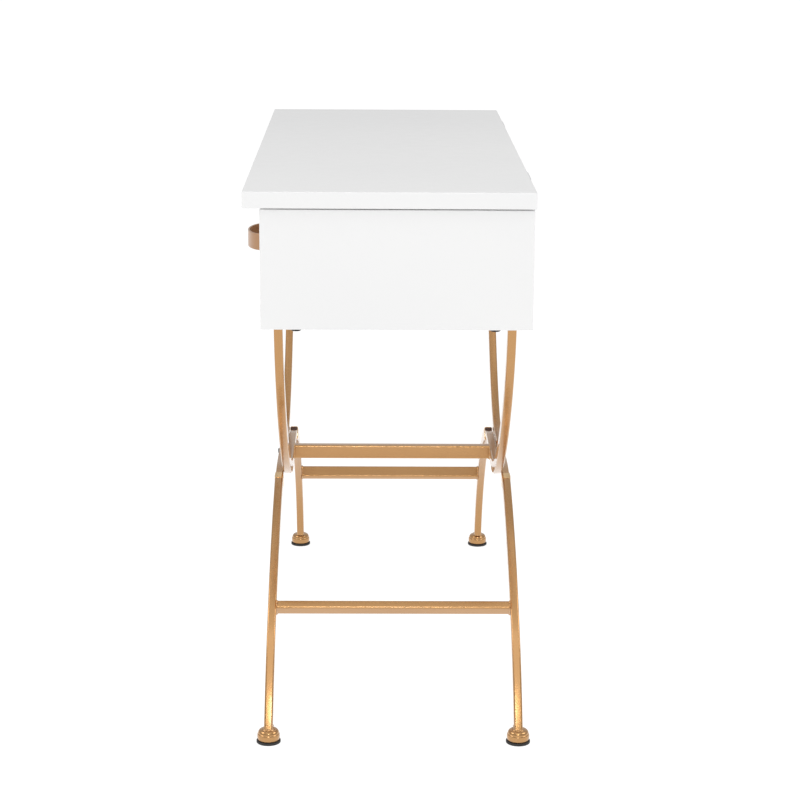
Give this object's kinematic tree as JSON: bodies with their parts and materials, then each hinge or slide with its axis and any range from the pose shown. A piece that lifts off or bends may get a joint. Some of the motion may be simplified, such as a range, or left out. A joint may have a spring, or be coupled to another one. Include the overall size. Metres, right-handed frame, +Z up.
{
  "type": "vanity table",
  "caption": "Vanity table with a flip-up mirror lid over a compartment, a wide drawer with a bow handle, and crossed bowed metal legs.",
  "frame": {"origin": "on the floor, at the middle of the footprint of the whole table", "axes": "+X to the right of the person who sits at it, +Y towards the back where the lid is hinged, +Z up"},
  "size_m": [1.02, 0.4284, 0.807],
  "materials": {
    "white_lacquer": "satin white lacquer on board",
    "drawer_board": "matt white foil on board",
    "gold_metal": "satin gold on steel",
    "handle_metal": "satin rose gold on steel",
    "black_steel": "black oxide",
    "zinc_steel": "bright zinc plated",
    "rubber": "matt",
    "mirror_glass": "silvered glass"
  },
  "bodies": {
    "base": {"front_inner_leg": "gold_metal", "front_outer_leg": "gold_metal", "rear_inner_leg": "gold_metal", "rear_outer_leg": "gold_metal", "front_left_foot": "gold_metal", "front_left_foot_pad": "rubber", "front_left_leg_plate": "gold_metal", "front_left_plate_bolt": "black_steel", "front_right_foot": "gold_metal", "front_right_foot_pad": "rubber", "front_right_leg_plate": "gold_metal", "front_right_plate_bolt": "black_steel", "front_crossing_bolt": "black_steel", "front_crossing_washer": "black_steel", "rear_left_foot": "gold_metal", "rear_left_foot_pad": "rubber", "rear_left_leg_plate": "gold_metal", "rear_left_plate_bolt": "black_steel", "rear_right_foot": "gold_metal", "rear_right_foot_pad": "rubber", "rear_right_leg_plate": "gold_metal", "rear_right_plate_bolt": "black_steel", "rear_crossing_bolt": "black_steel", "rear_crossing_washer": "black_steel", "centre_stretcher": "gold_metal", "left_stretcher": "gold_metal", "right_stretcher": "gold_metal", "left_end_panel": "white_lacquer", "right_end_panel": "white_lacquer", "back_panel": "white_lacquer", "bottom_panel": "white_lacquer", "front_fascia": "white_lacquer", "compartment_floor": "white_lacquer", "left_divider": "white_lacquer", "left_lid_bumper": "rubber", "left_runner_outer": "zinc_steel", "left_hinge_case_leaf": "zinc_steel", "left_hinge_pin": "zinc_steel", "right_divider": "white_lacquer", "right_lid_bumper": "rubber", "right_runner_outer": "zinc_steel", "right_hinge_case_leaf": "zinc_steel", "right_hinge_pin": "zinc_steel"},
    "left_runner_carriage": {"left_runner_middle": "zinc_steel"},
    "drawer": {"left_runner_inner": "zinc_steel", "right_runner_inner": "zinc_steel", "drawer_front": "white_lacquer", "drawer_left_side": "drawer_board", "drawer_right_side": "drawer_board", "drawer_back": "drawer_board", "drawer_bottom": "drawer_board", "bow_handle": "handle_metal"},
    "lid": {"left_hinge_lid_leaf": "zinc_steel", "right_hinge_lid_leaf": "zinc_steel", "lid_panel": "white_lacquer", "mirror_glass": "mirror_glass", "mirror_front_rail": "gold_metal", "mirror_rear_rail": "gold_metal"},
    "right_runner_carriage": {"right_runner_middle": "zinc_steel"}
  },
  "joints": [
    {"name": "lid_hinge", "type": "hinge", "parent": "base", "child": "lid", "pos_m": [0, 0.21005, 0.783], "axis": [-1, 0, 0], "range_deg": [0, 100]},
    {"name": "drawer_slide", "type": "slide", "parent": "base", "child": "drawer", "axis": [0, -1, 0], "range_m": [0, 0.25]},
    {"name": "left_runner_slide", "type": "slide", "parent": "base", "child": "left_runner_carriage", "axis": [0, -1, 0], "range_m": [0, 0.126]},
    {"name": "right_runner_slide", "type": "slide", "parent": "base", "child": "right_runner_carriage", "axis": [0, -1, 0], "range_m": [0, 0.126]}
  ],
  "couplings": [
    {"joint": "left_runner_slide", "follows": "drawer_slide", "ratio": 0.5},
    {"joint": "right_runner_slide", "follows": "drawer_slide", "ratio": 0.5}
  ]
}
